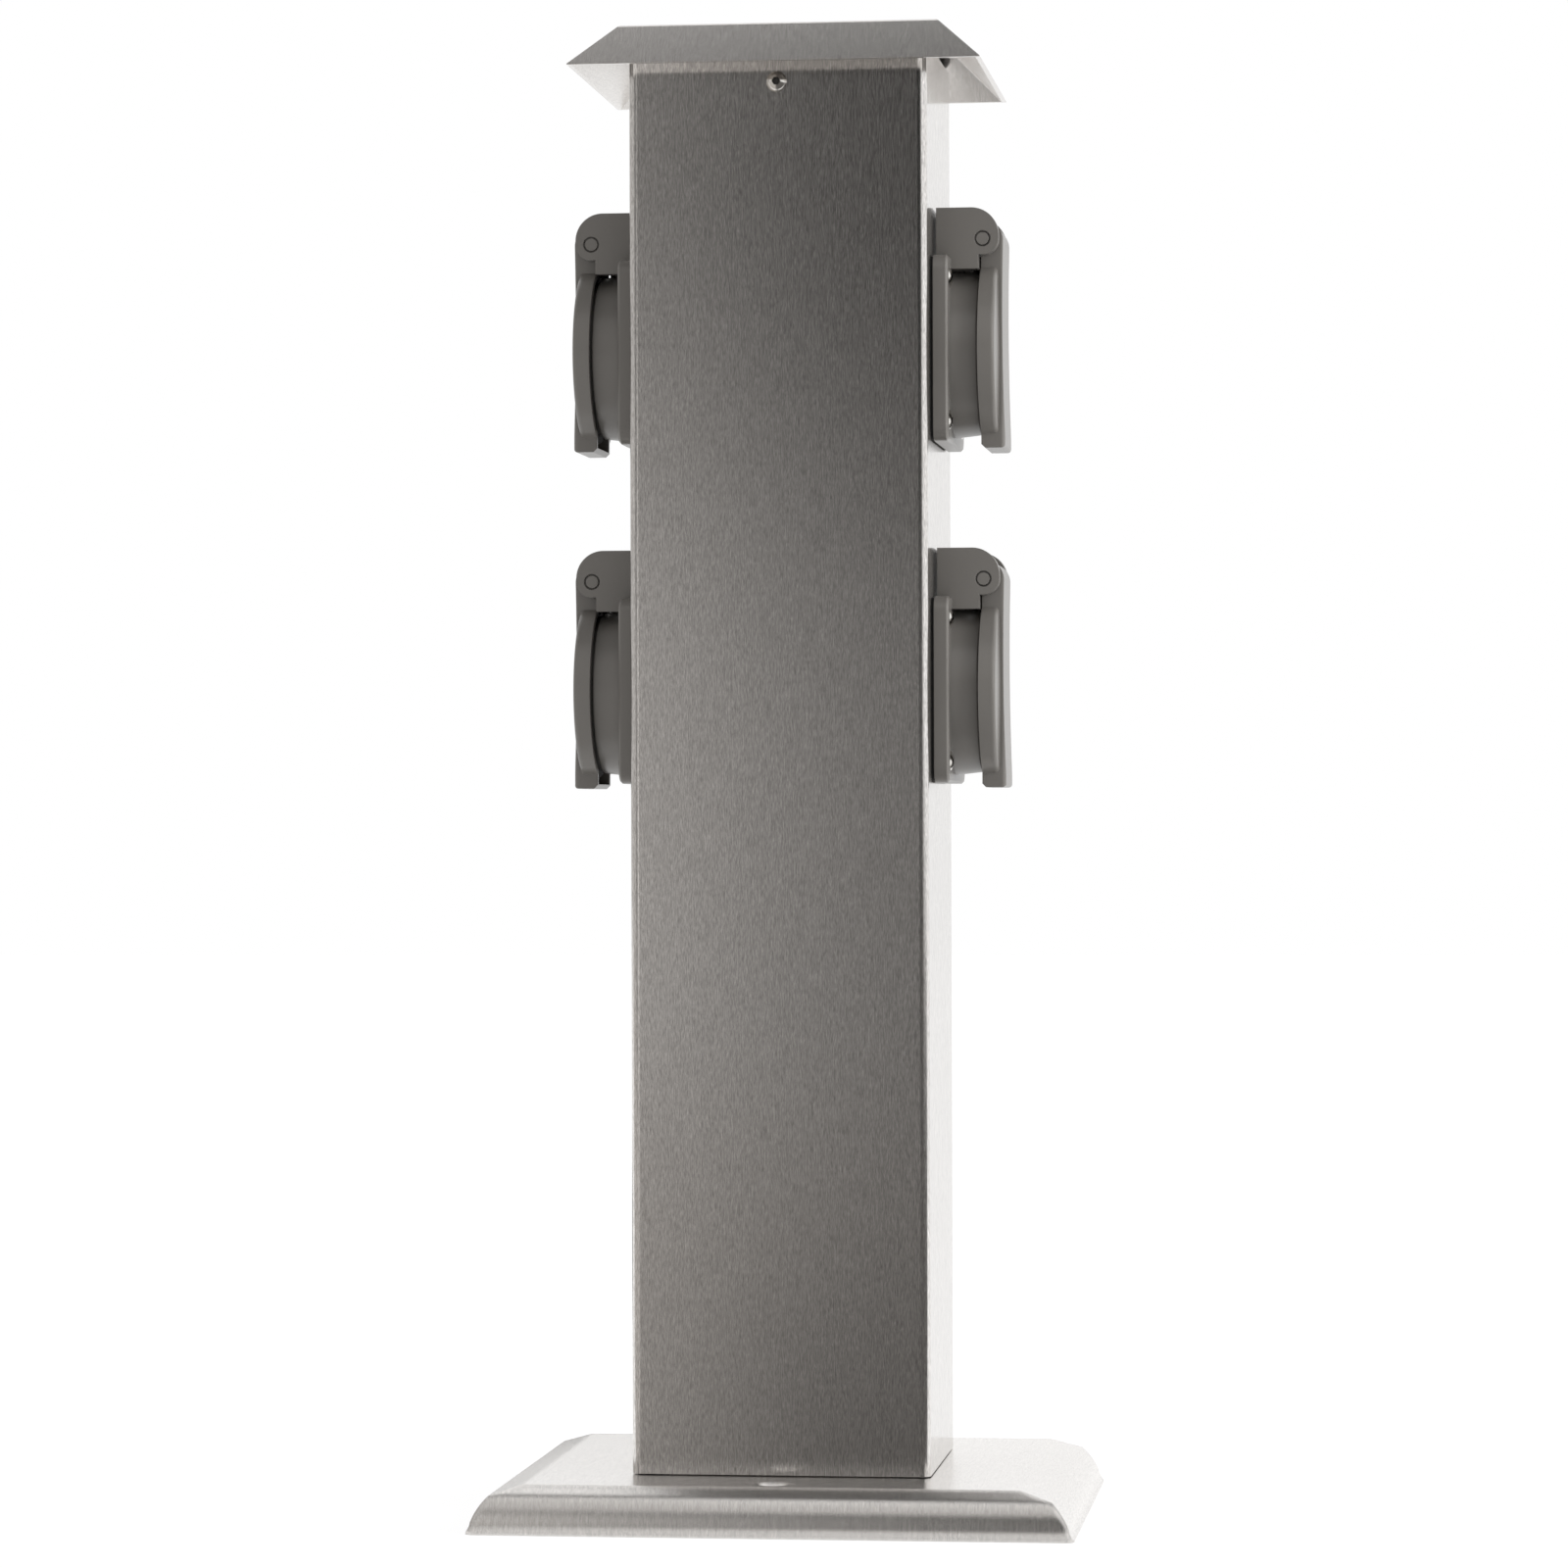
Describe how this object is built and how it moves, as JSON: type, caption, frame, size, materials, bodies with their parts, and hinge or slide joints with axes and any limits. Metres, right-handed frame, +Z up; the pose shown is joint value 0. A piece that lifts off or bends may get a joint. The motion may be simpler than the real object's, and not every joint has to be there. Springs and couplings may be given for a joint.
{
  "type": "outdoor socket post",
  "caption": "Stainless outdoor power post with a folded cap, a pressed base plate and lidded weatherproof outlets on both side faces.",
  "frame": {"origin": "middle of the base plate's footprint on the ground", "axes": "+Z up, -Y to the front, +X to the right; the outlets face +X and -X"},
  "size_m": [0.16, 0.13, 0.4],
  "materials": {
    "brushed_stainless": "fine vertical brushing on the column, satin on base and cap",
    "plain_stainless": "plain sheet",
    "screw_steel": "bright",
    "zinced_steel": "zinc plated",
    "grey_moulding": "satin, lightly eroded mould surface",
    "dark_insert": "satin",
    "black_nylon": "satin",
    "white_nylon": "satin",
    "black_rubber": "matt",
    "brass": "plain",
    "nickelled_brass": "nickel plated",
    "brown_sheath": "satin",
    "blue_sheath": "satin",
    "green_yellow_sheath": "satin"
  },
  "bodies": {
    "post": {"base_plate": "brushed_stainless", "column": "brushed_stainless", "cap": "brushed_stainless", "cap_bracket": "plain_stainless", "cap_screws": "screw_steel", "foot_bracket_front": "zinced_steel", "foot_bracket_back": "zinced_steel", "foot_screws": "screw_steel", "cable_gland": "black_nylon", "gland_nut": "black_nylon", "flange_screws": "screw_steel", "terminal_plate": "zinced_steel", "terminal_block": "white_nylon", "earth_stud": "brass", "earth_nut": "brass", "live_wire": "brown_sheath", "neutral_wire": "blue_sheath", "earth_wire": "green_yellow_sheath", "frame_right_upper": "grey_moulding", "flange_gasket_right_upper": "black_rubber", "insert_right_upper": "dark_insert", "line_contacts_right_upper": "brass", "earth_clip_right_upper": "nickelled_brass", "rear_housing_right_upper": "black_nylon", "hinge_pin_right_upper": "grey_moulding", "lid_spring_right_upper": "screw_steel", "frame_right_lower": "grey_moulding", "flange_gasket_right_lower": "black_rubber", "insert_right_lower": "dark_insert", "line_contacts_right_lower": "brass", "earth_clip_right_lower": "nickelled_brass", "rear_housing_right_lower": "black_nylon", "hinge_pin_right_lower": "grey_moulding", "lid_spring_right_lower": "screw_steel", "frame_left_upper": "grey_moulding", "flange_gasket_left_upper": "black_rubber", "insert_left_upper": "dark_insert", "line_contacts_left_upper": "brass", "earth_clip_left_upper": "nickelled_brass", "rear_housing_left_upper": "black_nylon", "hinge_pin_left_upper": "grey_moulding", "lid_spring_left_upper": "screw_steel", "frame_left_lower": "grey_moulding", "flange_gasket_left_lower": "black_rubber", "insert_left_lower": "dark_insert", "line_contacts_left_lower": "brass", "earth_clip_left_lower": "nickelled_brass", "rear_housing_left_lower": "black_nylon", "hinge_pin_left_lower": "grey_moulding", "lid_spring_left_lower": "screw_steel"},
    "lid_right_upper_body": {"lid_right_upper": "grey_moulding", "lid_seal_right_upper": "black_rubber"},
    "lid_right_lower_body": {"lid_right_lower": "grey_moulding", "lid_seal_right_lower": "black_rubber"},
    "lid_left_upper_body": {"lid_left_upper": "grey_moulding", "lid_seal_left_upper": "black_rubber"},
    "lid_left_lower_body": {"lid_left_lower": "grey_moulding", "lid_seal_left_lower": "black_rubber"}
  },
  "joints": [
    {"name": "lid_hinge_right_upper", "type": "hinge", "parent": "post", "child": "lid_right_upper_body", "pos_m": [0.0532, 0, 0.3433], "axis": [0, -1, 0], "range_deg": [0, 110], "stiffness_Nm_per_rad": 0.02, "springref_deg": -20.05},
    {"name": "lid_hinge_right_lower", "type": "hinge", "parent": "post", "child": "lid_right_lower_body", "pos_m": [0.0532, 0, 0.2518], "axis": [0, -1, 0], "range_deg": [0, 110], "stiffness_Nm_per_rad": 0.02, "springref_deg": -20.05},
    {"name": "lid_hinge_left_upper", "type": "hinge", "parent": "post", "child": "lid_left_upper_body", "pos_m": [-0.0532, 0, 0.3433], "axis": [0, 1, 0], "range_deg": [0, 110], "stiffness_Nm_per_rad": 0.02, "springref_deg": -20.05},
    {"name": "lid_hinge_left_lower", "type": "hinge", "parent": "post", "child": "lid_left_lower_body", "pos_m": [-0.0532, 0, 0.2518], "axis": [0, 1, 0], "range_deg": [0, 110], "stiffness_Nm_per_rad": 0.02, "springref_deg": -20.05}
  ]
}
